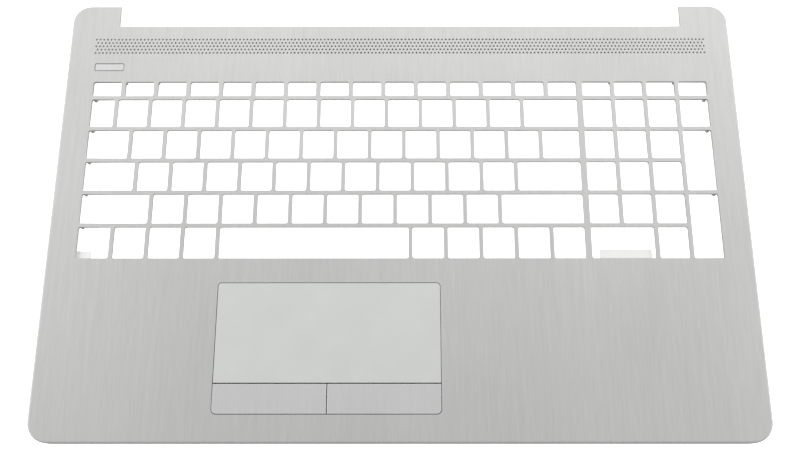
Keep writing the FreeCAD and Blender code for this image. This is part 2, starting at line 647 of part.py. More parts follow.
def add_ribs(body):
    """Add the rib round the keyboard and the cross ribs of the palm areas."""
    ring = Drawing(body, "keyboard_rib_loop", offset=UNDERSIDE)
    side = "( field_width / 2 + keyboard_side_room )"
    front = f"( {FIELD_FRONT} - keyboard_front_room )"
    rear = f"( {row_rear(FUNCTION_ROW)} + keyboard_end_room )"
    draw_rectangle(ring, f"( 0 - {side} )", side, front, rear)
    outer = f"( {side} + rib_width )"
    draw_rectangle(ring, f"( 0 - {outer} )", outer, f"( {front} - rib_width )",
                   f"( {rear} + rib_width )")
    pad(body, ring, "keyboard_rib", "rib_height", down=True)

    palm = Drawing(body, "palm_rib_lines", offset=UNDERSIDE)
    palm_front = f"( {FRONT} + wall_thickness )"
    palm_rear = f"( {front} - rib_width )"
    middle = f"( ( {palm_front} + {palm_rear} ) / 2 )"
    tab_room = "( tab_screw_reach + tab_boss_radius + bracket_lap + rib_width )"
    wall = "( cover_width / 2 - wall_thickness )"
    cross = Drawing(body, "palm_cross_lines", offset=UNDERSIDE)
    for sign, inner in (("-1", f"( 0 - {WINDOW_LEFT} + {tab_room} )"),
                        ("1", f"( {WINDOW_RIGHT} + {tab_room} )")):
        low, high = sorted((f"( {sign} * {inner} )", f"( {sign} * {wall} )"), key=number_of)
        draw_rectangle(palm, low, high, f"( {middle} - rib_width / 2 )",
                       f"( {middle} + rib_width / 2 )")
        for step in rib_steps(inner, wall):
            x = f"( {sign} * ( edge_boss_half_span + {step} * palm_rib_spacing ) )"
            draw_rectangle(cross, f"( {x} - rib_width / 2 )", f"( {x} + rib_width / 2 )",
                           palm_front, palm_rear)
    pad(body, palm, "palm_ribs", "rib_height", down=True)
    pad(body, cross, "palm_cross_ribs", "rib_height", down=True)


def add_hooks(body):
    """Add the snap hooks on the inside of the front and side walls."""
    hooks = Drawing(body, "hook_outlines", offset="hook_bottom")
    inner_front = f"( {FRONT} + wall_thickness )"
    outer = "( ( edge_boss_half_span + cover_width / 2 - side_inset ) / 2 )"
    for x in (f"( 0 - {outer} )", "( 0 - window_offset )",
              f"( ( {WINDOW_RIGHT} + edge_boss_half_span ) / 2 )", outer):
        draw_rectangle(hooks, f"( {x} - hook_width / 2 )", f"( {x} + hook_width / 2 )",
                       f"( {inner_front} - wall_thickness / 2 )", f"( {inner_front} + hook_reach )")
    wall = "( cover_width / 2 - wall_thickness )"
    for low, high in (("front_boss_place", "middle_boss_place"),
                      ("middle_boss_place", "rear_boss_place")):
        y = f"( {FRONT} + ( {low} + {high} ) / 2 )"
        draw_rectangle(hooks, f"( {wall} - hook_reach )", f"( {wall} + wall_thickness / 2 )",
                       f"( {y} - hook_width / 2 )", f"( {y} + hook_width / 2 )")
        draw_rectangle(hooks, f"( 0 - {wall} - wall_thickness / 2 )", f"( 0 - {wall} + hook_reach )",
                       f"( {y} - hook_width / 2 )", f"( {y} + hook_width / 2 )")
    pad(body, hooks, "snap_hooks", "hook_height")


def cut_screw_holes(body):
    """Cut the holes for inserts and small screws up into the bosses."""
    cuts = [
        ("insert_holes", base_screw_places(), "( insert_radius + insert_clearance )",
         "boss_bottom", "insert_length + insert_relief"),
        ("hinge_insert_holes", hinge_screw_places("-1") + hinge_screw_places("1"),
         "( insert_radius + insert_clearance )", "hinge_boss_bottom",
         "hinge_insert_length + insert_relief"),
        ("tab_screw_holes", [(x, y) for sign, x, y in tab_screws()],
         "( screw_shank_radius + thread_clearance )", f"( {UNDERSIDE} - tab_drop )",
         "screw_bite + thread_clearance"),
        ("power_screw_holes", power_screw_places(),
         "( screw_shank_radius + thread_clearance )", SWITCH_BOTTOM,
         "screw_bite + thread_clearance"),
    ]
    for name, places, radius, bottom, length in cuts:
        sketch = Drawing(body, f"{name}_circles", offset=bottom)
        for x, y in places:
            draw_circle(sketch, x, y, radius)
        pocket_up(body, sketch, name, length)


def make_key_prisms():
    """The openings of all key rows as rounded prisms through the plate."""
    prisms = []
    bottom = number_of(UNDERSIDE)
    height = number_of("plate_thickness + top_edge_radius")
    for keys in key_openings().values():
        for key in keys:
            left, right, front, rear = [number_of(edge) for edge in key]
            prism = Part.makeBox(right - left, rear - front, height, Vector(left, front, bottom))
            upright = [edge for edge in prism.Edges if abs(edge.BoundBox.ZLength - height) < NEAR]
            prisms.append(prism.makeFillet(number_of("key_corner_radius"), upright))
    openings = doc.addObject("Part::Feature", "key_openings")
    openings.Shape = Part.makeCompound(prisms)
    return openings


def rounded_edges(block):
    """Names of the top edges, apart from those round the rear notch."""
    top = number_of("cover_height")
    notch = number_of(NOTCH)
    ear = number_of(EAR)
    names = []
    for index, edge in enumerate(block.Shape.Edges, start=1):
        middle = edge.CenterOfMass
        in_notch = middle.y > notch - NEAR and abs(middle.x) < ear + NEAR
        if abs(edge.BoundBox.ZMin - top) < NEAR and not in_notch:
            names.append(f"Edge{index}")
    return names


def make_top_cover():
    body = body_of("cover_moulding")
    outline = Drawing(body, "cover_outline")
    draw_loop(outline, cover_outline("0"))
    block = pad(body, outline, "cover_block", "cover_height")
    doc.recompute()
    rounding = body.newObject("PartDesign::Fillet", "top_edge")
    rounding.Base = (block, rounded_edges(block))
    rounding.setExpression("Radius", bound("top_edge_radius"))

    cavity = Drawing(body, "cavity_outline")
    draw_loop(cavity, cover_outline("wall_thickness"))
    pocket_up(body, cavity, "cavity", UNDERSIDE)

    reliefs = Drawing(body, "ear_relief_outlines")
    relief_front = f"( {NOTCH} - wall_thickness )"
    relief_rear = f"( {REAR} + wall_thickness )"
    draw_rectangle(reliefs, f"( 0 - {EAR} - ear_relief )", f"( 0 - {EAR} + ear_relief )",
                   relief_front, relief_rear)
    draw_rectangle(reliefs, f"( {EAR} - ear_relief )", f"( {EAR} + ear_relief )",
                   relief_front, relief_rear)
    pocket_up(body, reliefs, "ear_reliefs", UNDERSIDE)

    windows = Drawing(body, "window_outlines")
    draw_rectangle(windows, WINDOW_LEFT, WINDOW_RIGHT, WINDOW_FRONT, WINDOW_REAR,
                   "window_front_radius", "window_rear_radius")
    draw_rectangle(windows, f"( {POWER_X} - power_width / 2 )", f"( {POWER_X} + power_width / 2 )",
                   f"( {POWER_Y} - power_depth / 2 )", f"( {POWER_Y} + power_depth / 2 )",
                   "power_radius")
    pocket_up(body, windows, "windows")
    add_underside(body)
    cut_screw_holes(body)
    cover = doc.addObject("Part::Cut", "top_cover")
    cover.Base = body
    cover.Tool = make_key_prisms()
    return cover


def make_touchpad():
    pad_edges = (f"( {WINDOW_LEFT} + button_clearance )", f"( {WINDOW_RIGHT} - button_clearance )",
                 PAD_FRONT, f"( {WINDOW_REAR} - button_clearance )")
    surface = plate_piece("touchpad_surface", f"( {PAD_BOTTOM} + pad_board_thickness )",
                          "surface_thickness",
                          (*pad_edges, "0", "( window_rear_radius - button_clearance )"))
    left, right, front, rear = pad_edges
    board = plate_piece("touchpad_board", PAD_BOTTOM, "pad_board_thickness",
                        (f"( {left} + pad_board_inset )", f"( {right} - pad_board_inset )",
                         f"( {front} + pad_board_inset )", f"( {rear} - pad_board_inset )"))
    middle = f"( ( {front} + {rear} ) / 2 )"
    chip_x = "( 0 - window_offset - chip_offset )"
    chip = plate_piece("touchpad_chip", f"( {PAD_BOTTOM} - chip_height )", "chip_height",
                       (f"( {chip_x} - chip_width / 2 )", f"( {chip_x} + chip_width / 2 )",
                        f"( {middle} - chip_width / 2 )", f"( {middle} + chip_width / 2 )"))
    socket_x = "( 0 - window_offset + connector_offset )"
    socket = plate_piece("touchpad_connector", f"( {PAD_BOTTOM} - connector_height )",
                         "connector_height",
                         (f"( {socket_x} - connector_width / 2 )",
                          f"( {socket_x} + connector_width / 2 )",
                          f"( {middle} - connector_depth / 2 )",
                          f"( {middle} + connector_depth / 2 )"))
    return [surface, board, chip, socket]


def make_bracket():
    """Fold the steel sheet under the pad down to a shelf for the pad switch board."""
    body = body_of("touchpad_bracket")
    left = f"( {WINDOW_LEFT} - bracket_lap )"
    right = f"( {WINDOW_RIGHT} + bracket_lap )"
    web_front = f"( {PAD_FRONT} + bracket_set_back )"
    web_rear = f"( {web_front} + sheet_thickness )"
    rear = f"( {WINDOW_REAR} + bracket_lap )"
    low = f"( {PAD_BOTTOM} - sheet_thickness )"
    shelf_top = "( shelf_bottom + sheet_thickness )"
    shelf_front = f"( {FRONT} + shelf_front )"
    outer = "( bend_radius + sheet_thickness )"
    fold = Drawing(body, "fold_profile", "YZ_Plane", left)
    draw_loop(fold, [(shelf_front, "shelf_bottom", "0"), (web_rear, "shelf_bottom", outer),
                     (web_rear, low, "bend_radius"), (rear, low, "0"),
                     (rear, PAD_BOTTOM, "0"), (web_front, PAD_BOTTOM, outer),
                     (web_front, shelf_top, "bend_radius"), (shelf_front, shelf_top, "0")])
    pad(body, fold, "folded_sheet", f"{right} - {left}")

    tab_low = f"( {UNDERSIDE} - tab_drop - sheet_thickness )"
    tab_high = f"( {UNDERSIDE} - tab_drop )"
    for index, (sign, x, y) in enumerate(tab_screws()):
        edge = left if sign == "-1" else right
        profile = Drawing(body, f"tab_profile_{index}", "XZ_Plane",
                            f"( 0 - {y} - tab_width / 2 )")
        out = [("( 0 - sheet_thickness )", low), ("( 0 - sheet_thickness )", PAD_BOTTOM),
               ("sheet_thickness", PAD_BOTTOM), ("( sheet_thickness + tab_slope )", tab_high),
               ("tab_length", tab_high), ("tab_length", tab_low),
               ("( sheet_thickness / 2 + tab_slope )", tab_low), ("( sheet_thickness / 2 )", low)]
        draw_polygon(profile, [(f"( {edge} + {sign} * {reach} )", z) for reach, z in out])
        pad(body, profile, f"tab_{index}", "tab_width")

    holes = Drawing(body, "bracket_openings")
    middle = f"( ( {PAD_FRONT} + {WINDOW_REAR} ) / 2 )"
    half_width = "( bracket_opening_width / 2 )"
    half_depth = "( bracket_opening_depth / 2 )"
    draw_rectangle(holes, f"( 0 - window_offset - {half_width} )",
                   f"( 0 - window_offset + {half_width} )",
                   f"( {middle} - {half_depth} )", f"( {middle} + {half_depth} )",
                   "bracket_opening_radius")
    for sign, x, y in tab_screws():
        draw_circle(holes, x, y, "( screw_shank_radius + screw_clearance )")
    for x, y in pad_board_screw_places():
        draw_circle(holes, x, y, "( screw_shank_radius + thread_clearance )")
    pocket_up(body, holes, "bracket_holes")
    return body


def pad_board_screw_places():
    reach = "( pad_switch_board_width / 2 - board_screw_inset )"
    return [(f"( 0 - window_offset + {sign} * {reach} )", PAD_SWITCH_Y) for sign in ("-1", "1")]


def make_screw(name, x, y, bearing, length, head_down=True):
    """A pan-head screw whose head bears on the face at the given height."""
    head_bottom = f"( {bearing} - screw_head_height )" if head_down else bearing
    shank_bottom = bearing if head_down else f"( {bearing} - {length} )"
    head = cylinder(f"{name}_head", x, y, head_bottom, "screw_head_radius", "screw_head_height")
    shank = cylinder(f"{name}_shank", x, y, shank_bottom, "screw_shank_radius", length)
    screw = doc.addObject("Part::Fuse", name)
    screw.Base = head
    screw.Tool = shank
    return screw


def make_screws():
    bracket_screws = [
        make_screw(f"tab_screw_{index}", x, y, f"( {UNDERSIDE} - tab_drop - sheet_thickness )",
                   "( sheet_thickness + screw_bite )")
        for index, (sign, x, y) in enumerate(tab_screws())]
    board_screws = [
        make_screw(f"pad_board_screw_{index}", x, y, SWITCH_BOTTOM,
                   "( board_thickness + sheet_thickness )", head_down=False)
        for index, (x, y) in enumerate(pad_board_screw_places())]
    power_screws = [
        make_screw(f"power_board_screw_{index}", x, y, SWITCH_BOARD_BOTTOM,
                   "( board_thickness + screw_bite )")
        for index, (x, y) in enumerate(power_screw_places())]
    return [group("touchpad_bracket_screws", bracket_screws),
            group("button_board_screws", board_screws),
            group("power_board_screws", power_screws)]


def make_inserts():
    """Threaded brass inserts as plain sleeves."""
    sets = [("cover_inserts", base_screw_places(), "boss_bottom", "insert_length"),
            ("hinge_inserts_left", hinge_screw_places("-1"), "hinge_boss_bottom",
             "hinge_insert_length"),
            ("hinge_inserts_right", hinge_screw_places("1"), "hinge_boss_bottom",
             "hinge_insert_length")]
    groups = []
    for name, places, bottom, length in sets:
        sleeves = []
        for index, (x, y) in enumerate(places):
            sleeve = doc.addObject("Part::Cut", f"{name}_{index}")
            sleeve.Base = cylinder(f"{name}_{index}_outside", x, y, bottom, "insert_radius", length)
            sleeve.Tool = cylinder(f"{name}_{index}_bore", x, y, bottom, "insert_bore_radius", length)
            sleeves.append(sleeve)
        groups.append(group(name, sleeves))
    return groups


def make_switch(name, x, y):
    """A low push switch: a housing with a blind bore, and the stem that rides in it."""
    half = "( switch_width / 2 )"
    housing = plate_piece(name, SWITCH_BOTTOM, "switch_height",
                          (f"( {x} - {half} )", f"( {x} + {half} )",
                           f"( {y} - {half} )", f"( {y} + {half} )"))
    bore = Drawing(housing, f"{name}_bore_circle", offset=f"( {SWITCH_BOTTOM} + switch_floor )")
    draw_circle(bore, x, y, "( stem_radius + stem_clearance )")
    pocket_up(housing, bore, f"{name}_bore")
    stem = cylinder(f"{name}_stem", x, y, f"( {SWITCH_TOP} - stem_sunk )", "stem_radius",
                    "( stem_sunk + stem_stand )")
    stem.Label = f"{name}_stem"
    return [housing, stem]


def make_pad_button(side):
    """A click button with two flex arms that run forward to a heat-staked strip."""
    name = f"touchpad_button_{side}"
    body = body_of(name)
    left, right = button_span(side)
    front = f"( {WINDOW_FRONT} + button_clearance )"
    rounded = "( window_front_radius - button_clearance )"
    corners = [(left, front, rounded if side == "left" else "0"),
               (right, front, rounded if side == "right" else "0"),
               (right, BUTTON_REAR, "0"), (left, BUTTON_REAR, "0")]
    cap = Drawing(body, f"{name}_cap_outline", offset="( cover_height - button_thickness )")
    draw_loop(cap, corners)
    pad(body, cap, f"{name}_cap", "button_thickness")

    arms = Drawing(body, f"{name}_arm_outlines", offset=STRIP_BOTTOM)
    inner = f"( {left} + strip_inset )"
    outer = f"( {right} - strip_inset )"
    strip_rear = f"( {STRIP_FRONT} + strip_depth )"
    arm_rear = f"( {front} + arm_reach )"
    draw_loop(arms, [(inner, STRIP_FRONT, "0"), (outer, STRIP_FRONT, "0"), (outer, arm_rear, "0"),
                     (f"( {outer} - arm_width )", arm_rear, "0"),
                     (f"( {outer} - arm_width )", strip_rear, "0"),
                     (f"( {inner} + arm_width )", strip_rear, "0"),
                     (f"( {inner} + arm_width )", arm_rear, "0"), (inner, arm_rear, "0")])
    for x in arm_places(side):
        draw_circle(arms, x, STRIP_MIDDLE, "( stake_radius + stake_clearance )")
    pad(body, arms, f"{name}_arms", "arm_thickness")

    post = Drawing(body, f"{name}_post_circle", offset="( cover_height - button_thickness )")
    draw_circle(post, pad_switch_x(side), PAD_SWITCH_Y, "post_radius")
    pad(body, post, f"{name}_post", "post_length", down=True)
    return body


def make_pad_switches():
    half = "( pad_switch_board_width / 2 )"
    rear = f"( {PAD_FRONT} + bracket_set_back - bend_radius )"
    board = plate_piece(
        "button_board", SWITCH_BOARD_BOTTOM, "board_thickness",
        (f"( 0 - window_offset - {half} )", f"( 0 - window_offset + {half} )",
         f"( {rear} - pad_switch_board_depth )", rear),
        [(x, y, "( screw_shank_radius + screw_clearance )") for x, y in pad_board_screw_places()])
    pieces = [board]
    for side in ("left", "right"):
        pieces += make_switch(f"button_switch_{side}", pad_switch_x(side), PAD_SWITCH_Y)
    half_width = "( small_connector_width / 2 )"
    pieces.append(plate_piece(
        "button_board_connector", SWITCH_BOTTOM, "small_connector_height",
        (f"( 0 - window_offset - {half_width} )", f"( 0 - window_offset + {half_width} )",
         f"( {PAD_SWITCH_Y} - small_connector_depth / 2 )",
         f"( {PAD_SWITCH_Y} + small_connector_depth / 2 )")))
    return pieces


def make_power_button():
    """A bar button with a retaining flange and a post over its switch."""
    body = body_of("power_button")
    half_width = "( power_width / 2 - power_clearance )"
    half_depth = "( power_depth / 2 - power_clearance )"
    flange_top = f"( {UNDERSIDE} - power_flange_gap )"
    cap = Drawing(body, "power_cap_outline", offset=flange_top)
    draw_rectangle(cap, f"( {POWER_X} - {half_width} )", f"( {POWER_X} + {half_width} )",
                   f"( {POWER_Y} - {half_depth} )", f"( {POWER_Y} + {half_depth} )",
                   "( power_radius - power_clearance )")
    pad(body, cap, "power_cap", f"cover_height - {flange_top}")
    flange = Drawing(body, "power_flange_outline", offset=flange_top)
    draw_rectangle(flange, f"( {POWER_X} - {half_width} - power_flange )",
                   f"( {POWER_X} + {half_width} + power_flange )",
                   f"( {POWER_Y} - {half_depth} - power_flange )",
                   f"( {POWER_Y} + {half_depth} + power_flange )")
    pad(body, flange, "power_flange_pad", "power_flange_height", down=True)
    post = Drawing(body, "power_post_circle", offset=f"( {flange_top} - power_flange_height )")
    draw_circle(post, POWER_X, POWER_Y, "post_radius")
    pad(body, post, "power_post", f"{flange_top} - power_flange_height - {STEM_TOP}", down=True)
    return body


def make_power_switch():
    half_width = "( power_board_width / 2 )"
    half_depth = "( power_board_depth / 2 )"
    board = plate_piece(
        "power_button_board", SWITCH_BOARD_BOTTOM, "board_thickness",
        (f"( {POWER_X} - {half_width} )", f"( {POWER_X} + {half_width} )",
         f"( {POWER_Y} - {half_depth} )", f"( {POWER_Y} + {half_depth} )"),
        [(x, y, "( screw_shank_radius + screw_clearance )") for x, y in power_screw_places()])
    socket_left = f"( {POWER_X} + switch_width )"
    socket_front = f"( {POWER_Y} - {half_depth} )"
    socket = plate_piece(
        "power_board_connector", SWITCH_BOTTOM, "small_connector_height",
        (socket_left, f"( {socket_left} + small_connector_width )", socket_front,
         f"( {socket_front} + small_connector_depth )"))
    return [board, socket] + make_switch("power_switch", POWER_X, POWER_Y)


def make_strips():
    """The mesh behind the perforated band and the two adhesive films by the keyboard."""
    grille_front = f"( {FRONT} + grille_front )"
    mesh = plate_piece("grille_mesh", f"( {UNDERSIDE} - grille_thickness )", "grille_thickness",
                       ("( 0 - grille_half_width )", "grille_half_width", grille_front,
                        f"( {grille_front} + grille_depth )"))
    film_bottom = f"( {UNDERSIDE} - film_thickness )"
    film_front = f"( {FIELD_FRONT} - keyboard_front_room + film_room )"
    left_start = f"( {FIELD_LEFT} - keyboard_side_room + film_room )"
    left_film = plate_piece("film_strip_left", film_bottom, "film_thickness",
                            (left_start, f"( {left_start} + left_film_length )", film_front,
                             f"( {FIELD_FRONT} + left_film_reach )"))
    right_start = f"( {NUMPAD_LEFT} + right_film_start )"
    right_film = plate_piece("film_strip_right", film_bottom, "film_thickness",
                             (right_start, f"( {right_start} + right_film_length )", film_front,
                              f"( {FIELD_FRONT} + right_film_reach )"))
    return [mesh, left_film, right_film]


pieces = [make_top_cover(), make_bracket(), make_power_button()]
pieces += make_touchpad()
pieces += [make_pad_button("left"), make_pad_button("right")]
pieces += make_pad_switches() + make_power_switch()
pieces += make_screws() + make_inserts() + make_strips()
doc.recompute()

for item in doc.Objects:
    if "Invalid" in item.State or "Error" in item.State:
        raise RuntimeError(f"{item.Name} failed: {item.State}")
for piece in pieces:
    if piece.Shape.isNull() or not piece.Shape.isValid():
        raise RuntimeError(f"{piece.Label} has no valid shape")

os.makedirs("parts", exist_ok=True)
for piece in pieces:
    piece.Shape.exportStep(f"parts/{piece.Label}.step")
    print(piece.Label, round(piece.Shape.Volume, 1), len(piece.Shape.Solids))
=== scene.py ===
import json
import math

import bmesh
import bpy
from mathutils import Matrix, Vector


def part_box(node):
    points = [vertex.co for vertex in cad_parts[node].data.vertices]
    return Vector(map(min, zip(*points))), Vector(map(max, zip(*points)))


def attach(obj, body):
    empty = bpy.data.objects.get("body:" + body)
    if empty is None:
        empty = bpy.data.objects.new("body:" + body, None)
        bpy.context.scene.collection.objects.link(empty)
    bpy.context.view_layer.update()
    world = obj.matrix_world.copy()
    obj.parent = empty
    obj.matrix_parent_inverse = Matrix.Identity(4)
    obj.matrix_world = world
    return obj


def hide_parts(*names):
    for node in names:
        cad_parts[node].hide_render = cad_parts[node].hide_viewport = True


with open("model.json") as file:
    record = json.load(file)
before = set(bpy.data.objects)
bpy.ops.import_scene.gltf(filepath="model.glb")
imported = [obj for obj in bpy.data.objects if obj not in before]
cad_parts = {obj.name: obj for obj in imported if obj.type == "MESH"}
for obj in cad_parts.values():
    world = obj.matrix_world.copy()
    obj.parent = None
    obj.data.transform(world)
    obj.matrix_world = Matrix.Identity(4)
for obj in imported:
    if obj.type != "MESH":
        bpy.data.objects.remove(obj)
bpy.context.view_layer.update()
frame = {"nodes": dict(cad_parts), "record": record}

MM = 0.001
LOW, HIGH = [Vector(corner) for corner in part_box("top_cover")]
TOP = HIGH.z
PLATE = 1.6 * MM

# Camera, solved from the key openings in the 800 by 450 photograph
CAMERA_PLACE = Vector((0.88, -146.7, 467.8)) * MM
CAMERA_FORWARD = Vector((-0.00163, 0.28603, -0.95822))
CAMERA_RIGHT = Vector((0.9999985, -0.00007, -0.00172))
CAMERA_FIELD = math.radians(48.070)

# Studio, in metres and watts: softboxes by name, place, target, width and height, power
SOFTBOXES = (
    ("rear_softbox", (0.05, 0.85, 0.9), (0.0, 0.12, 0), (1.4, 0.8), 6.6),
    ("left_softbox", (-0.8, 0.12, 0.42), (-0.08, 0.02, 0), (0.9, 0.5), 4.5),
    ("right_softbox", (0.8, 0.15, 0.42), (0.08, 0.02, 0), (0.9, 0.5), 3.9),
)
WORLD_STRENGTH = 0.4
FLOOR_HALF_SIZE = 3.0
FLOOR_COLOUR = (0.85, 0.85, 0.85)

# Perforated band: five rows, every second row moved by half a pitch
HOLE_PITCH = 2.1 * MM
HOLE_ROW_STEP = 2.09 * MM
HOLE_RADIUS = 0.62 * MM
HOLE_SIDES = 12
PIN_LENGTH = 1.25 * PLATE
HOLE_ROWS = 5
HOLES_PER_ROW = 166
BAND_MIDDLE = LOW.y + 220.4 * MM
BAND_HALF_DEPTH = HOLE_ROWS / 2 * HOLE_ROW_STEP

# Bevels on edges that the CAD model leaves sharp
OPENING_BEVEL = 0.2 * MM
BUTTON_BEVEL = 0.25 * MM
PAD_BEVEL = 0.12 * MM

# The power button stands a little off the rear wall of its well
POWER_REAR_CUT = 0.25 * MM
CUT_ZONE = 0.8 * MM

# Meshes: what counts as one point, one plane, a sharp edge, a level face and an upright face
SAME_POINT = 1e-6
FLAT_ANGLE = math.radians(0.5)
SHARP_ANGLE = math.radians(16)
LEVEL_NORMAL = 0.9999
NEAR_LEVEL_NORMAL = 0.9
UPRIGHT_NORMAL = 0.1

# Nodes that stand in a well of the cover, and how far its walls lie from them at most
WELL_NODES = ("power_button", "touchpad_surface", "touchpad_button_left", "touchpad_button_right")
WELL_ROOM = 1.0 * MM

# Places of the cover's wall materials in its list
# The hole walls are near-white and matt: painted light that lifts the shade inside the holes
HOLE_WALL_PAINTED_LIGHT = 1
# The well walls are near-black: painted shade in the gaps round the buttons and the pad
WELL_WALL_PAINTED_SHADE = 2

# Black films under the pad buttons, which close the gaps round them from below and paint the
# shade seen in those gaps
FILM_THICKNESS = 0.1 * MM
FILM_REACH = 0.75 * MM
FILM_LAP = 1.5 * MM
MIDDLE_FILM_SHARE = 0.9
CAP_BOTTOM = TOP - 2.2 * MM
CAP_DEPTH = 15.15 * MM
ARM_INSET = 5.0 * MM
ARM_WIDTH = 9.0 * MM
ARM_ROOM = 0.1 * MM


def new_mesh(name, mesh_builder):
    """Make a mesh with a function that fills a bmesh."""
    mesh = bpy.data.meshes.new(name)
    shape = bmesh.new()
    mesh_builder(shape)
    shape.to_mesh(mesh)
    shape.free()
    return mesh


def place_object(name, data):
    """Put a mesh, light or camera into the scene."""
    thing = bpy.data.objects.new(name, data)
    bpy.context.scene.collection.objects.link(thing)
    return thing


def new_piece(name, mesh_builder, body, materials, replaced=()):
    """Make a piece of the part and tie it to its body."""
    piece = place_object(name, new_mesh(name, mesh_builder))
    for material in materials:
        piece.data.materials.append(material)
    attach(piece, body)
    if replaced:
        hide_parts(*replaced)
    return piece


def is_level(face):
    return abs(face.normal.z) > LEVEL_NORMAL


def is_upright(face):
    return abs(face.normal.z) < UPRIGHT_NORMAL


def smooth_by_angle(shape):
    """Shade rounded stretches smoothly, and keep level faces and true edges sharp."""
    for face in shape.faces:
        face.smooth = True
    for edge in shape.edges:
        faces = edge.link_faces
        edge.smooth = (len(faces) == 2 and is_level(faces[0]) == is_level(faces[1])
                       and edge.calc_face_angle() < SHARP_ANGLE)


def merged_copy(shape, name):
    """Fill shape with a node's mesh, its doubles merged and its flat faces joined."""
    shape.from_mesh(frame["nodes"][name].data)
    bmesh.ops.remove_doubles(shape, verts=shape.verts, dist=SAME_POINT)
    bmesh.ops.dissolve_limit(shape, angle_limit=FLAT_ANGLE, verts=shape.verts,
                             edges=shape.edges)


def top_edges(shape, height):
    """Edges at a height between an upward face and an upright one."""
    found = []
    for edge in shape.edges:
        level = all(abs(corner.co.z - height) < SAME_POINT for corner in edge.verts)
        if level and len(edge.link_faces) == 2:
            lifts = sorted(abs(face.normal.z) for face in edge.link_faces)
            if lifts[0] < UPRIGHT_NORMAL and lifts[1] > NEAR_LEVEL_NORMAL:
                found.append(edge)
    return found


def bevel(shape, edges, width):
    bmesh.ops.bevel(shape, geom=edges, offset=width, offset_type="OFFSET", segments=2,
                    profile=0.5, affect="EDGES", clamp_overlap=True, material=-1)


def bevelled_piece(name, node, body, width, materials, rear_cut=0.0):
    """Replace a node by a copy with bevelled top edges, and the second material, a dark painted
    shade for the gap round it, on its sides.
    """
    def build(shape):
        merged_copy(shape, node)
        height = max(corner.co.z for corner in shape.verts)
        rear = max(corner.co.y for corner in shape.verts)
        for corner in shape.verts:
            if corner.co.y > rear - CUT_ZONE:
                corner.co.y -= rear_cut
        bevel(shape, top_edges(shape, height), width)
        smooth_by_angle(shape)
        for face in shape.faces:
            # Upright sides take the dark material, painted shade in the gap round the piece
            if is_upright(face):
                face.material_index = 1
    new_piece(name, build, body, materials, [node])


def add_box(shape, low, high):
    """Add a box between two corners."""
    size = Vector(high) - Vector(low)
    place = Matrix.Translation((Vector(low) + Vector(high)) / 2)
    bmesh.ops.create_cube(shape, size=1.0, matrix=place @ Matrix.Diagonal((*size, 1.0)))


# Darkest and lightest colour of each brushed silver
SILVERS = {
    "cover_silver": ((0.5, 0.5, 0.495), (0.58, 0.58, 0.575)),
    "button_silver": ((0.57, 0.575, 0.57), (0.62, 0.625, 0.62)),
}
# Material name, darkest and lightest colour, grain scale, metallic, roughness, then bump if any
PLAIN_BUMP = 0.1
BUMP_HEIGHT = 0.1 * MM
PLAIN_LOOKS = {
    "pad_face": ("pad_face", (0.6, 0.61, 0.6), (0.625, 0.635, 0.625), 60.0, 0.0, 0.38, 0.01),
    # Near-white matt walls for the perforation holes: painted light that lifts the shade in them
    "hole_wall_painted_light": ("hole_wall_painted_light", (0.795, 0.795, 0.795), (0.805, 0.805, 0.805),
                  2000.0, 0.0, 1.0, 0.0),
    # Near-black walls for the button wells: painted shade in the gaps round the buttons
    "well_wall_painted_shade": ("well_wall_painted_shade", (0.02, 0.015, 0.013), (0.04, 0.031, 0.028), 2000.0, 0.0, 0.9),
    # Dark sides for the pad and the buttons: painted shade in the gaps round them
    "groove_painted_shade": ("groove_painted_shade", (0.06, 0.06, 0.065), (0.1, 0.1, 0.105), 900.0, 0.0, 0.7),
    "steel": ("zinc_steel", (0.45, 0.46, 0.47), (0.58, 0.59, 0.60), 120.0, 0.9, 0.38),
    "screw_steel": ("screw_steel", (0.25, 0.25, 0.26), (0.4, 0.4, 0.41), 900.0, 1.0, 0.35),
    "circuit_board": ("circuit_board", (0.01, 0.09, 0.05), (0.02, 0.13, 0.07),
                      500.0, 0.0, 0.35),
    "black_plastic": ("black_plastic", (0.012, 0.012, 0.013), (0.03, 0.03, 0.03),
                      2500.0, 0.0, 0.5),
    "connector_plastic": ("connector_plastic", (0.6, 0.56, 0.46), (0.7, 0.66, 0.55),
                          2500.0, 0.0, 0.5),
    "switch_metal": ("switch_metal", (0.5, 0.5, 0.5), (0.66, 0.66, 0.66), 1500.0, 1.0, 0.3),
    "brass": ("brass", (0.6, 0.4, 0.14), (0.75, 0.52, 0.2), 1500.0, 1.0, 0.3),
    "mesh": ("dark_mesh", (0.02, 0.015, 0.013), (0.05, 0.038, 0.032), 1800.0, 0.0, 0.9),
    "film": ("pale_film", (0.82, 0.82, 0.81), (0.84, 0.84, 0.83), 400.0, 0.0, 0.35),
}


